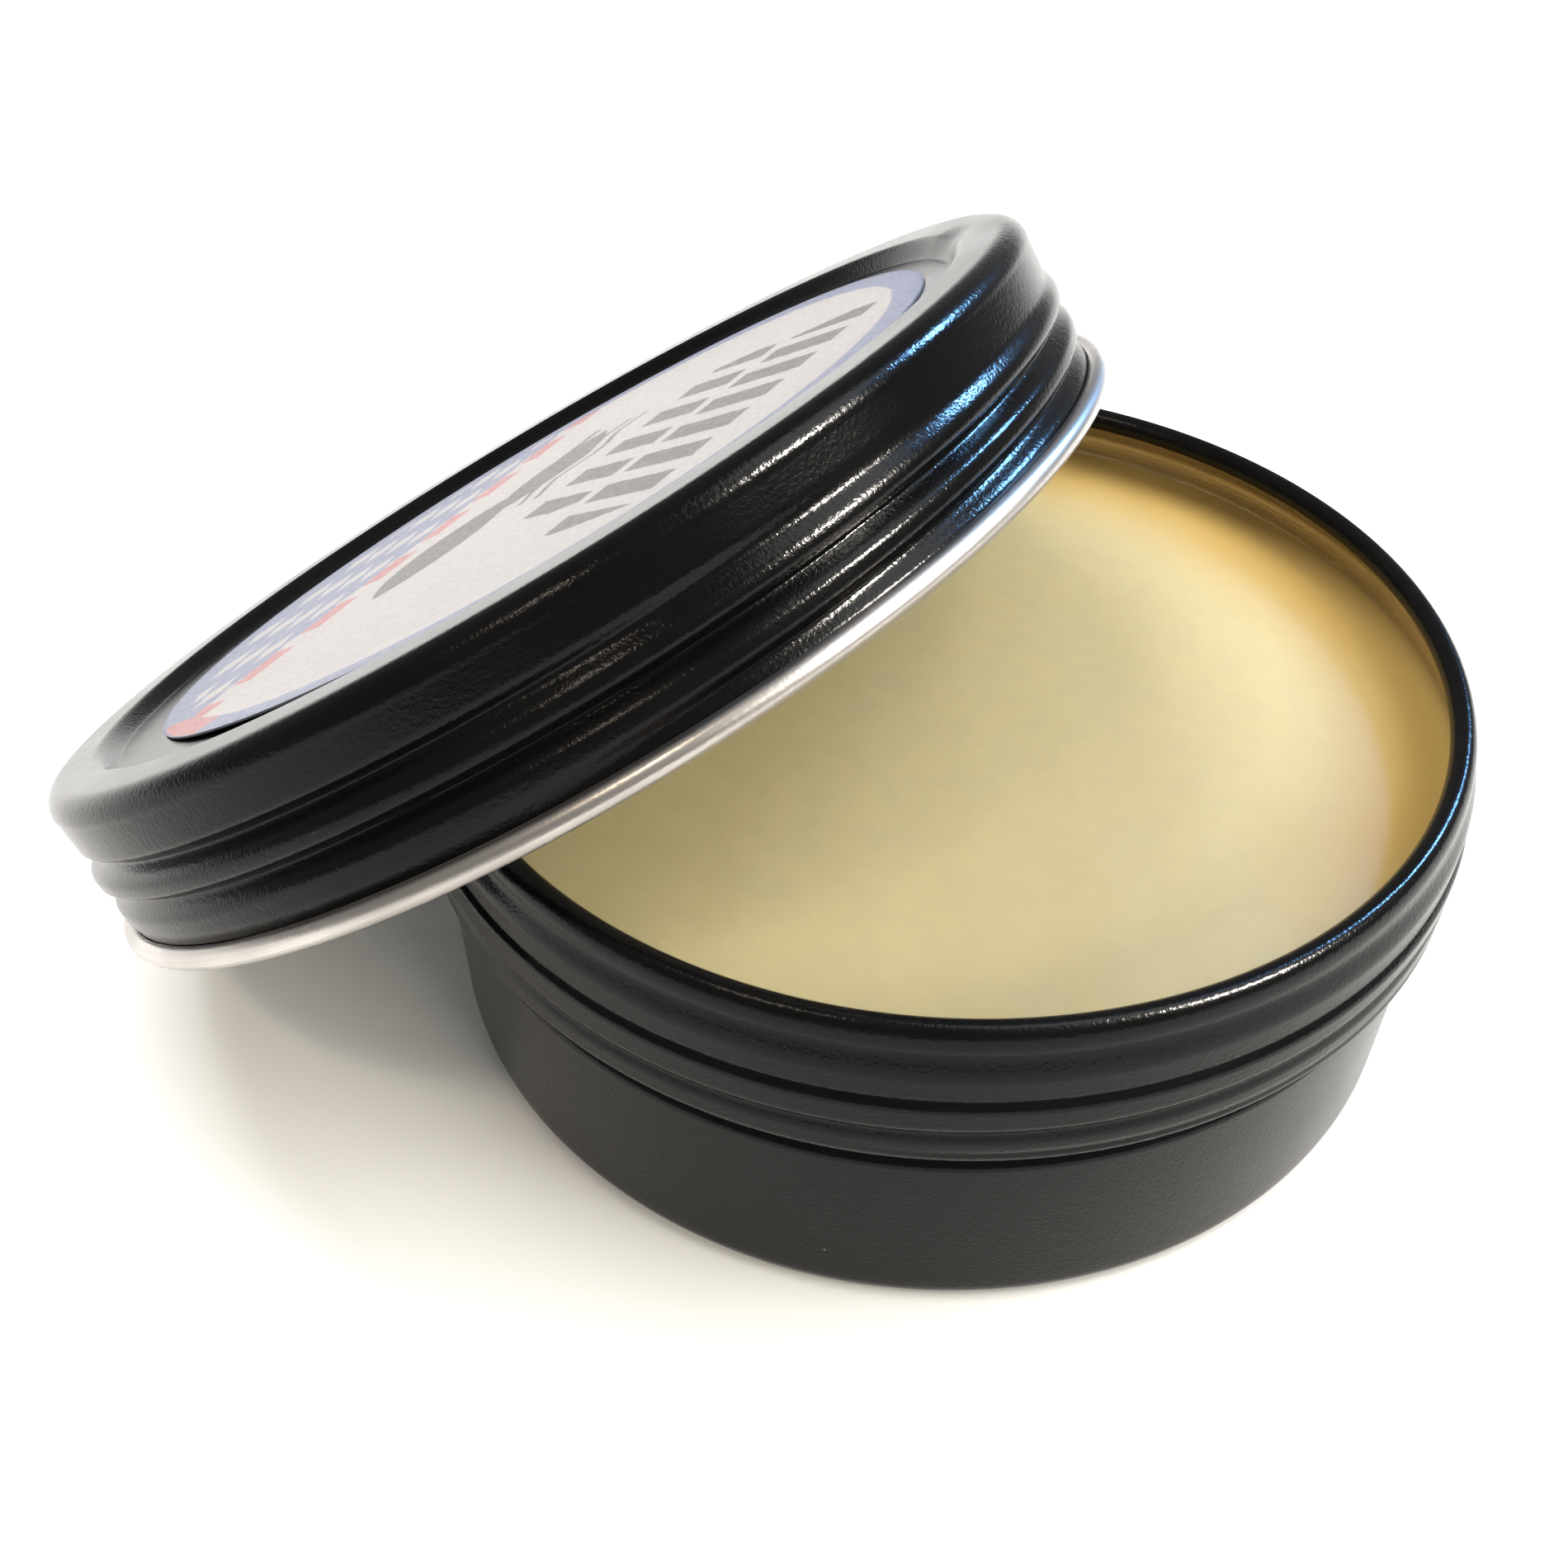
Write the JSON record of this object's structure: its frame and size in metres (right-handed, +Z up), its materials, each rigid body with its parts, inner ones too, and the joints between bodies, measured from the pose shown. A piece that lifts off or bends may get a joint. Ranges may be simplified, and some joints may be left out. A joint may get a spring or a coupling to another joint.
{
  "type": "screw top polish tin",
  "caption": "Shallow round screw-top tin filled with wax polish, open, its lid leaning on the rolled rim with the hem's low edge on the surface.",
  "frame": {"origin": "centre of the can's flat bottom face", "axes": "+Z up along the can's axis; the lid leans towards -X, its hinge lines run along Y"},
  "size_m": [0.0846, 0.0702, 0.0449],
  "materials": {
    "can_lacquer": "satin black lacquer outside, bare metal inside",
    "polish_wax": "smooth pale yellow wax",
    "lid_lacquer": "satin black lacquer outside, bare metal inside and on the curled hem",
    "liner_foam": "thin white closed-cell foam",
    "label_paper": "printed coated paper"
  },
  "bodies": {
    "can": {"base_can": "can_lacquer", "polish": "polish_wax"},
    "liner": {"lid_liner": "liner_foam"},
    "lid": {"lid_shell": "lid_lacquer", "lid_label": "label_paper"}
  },
  "joints": [
    {"name": "lid_tip", "type": "hinge", "parent": "can", "child": "liner", "pos_m": [-0.04862, -0.0047, 0.00064], "axis": [0, -1, 0], "range_deg": [0, 63]},
    {"name": "lid_turn", "type": "hinge", "parent": "liner", "child": "lid", "pos_m": [-0.02055, -0.0047, 0.01867], "axis": [-0.5563, 0, 0.831], "continuous": true}
  ]
}
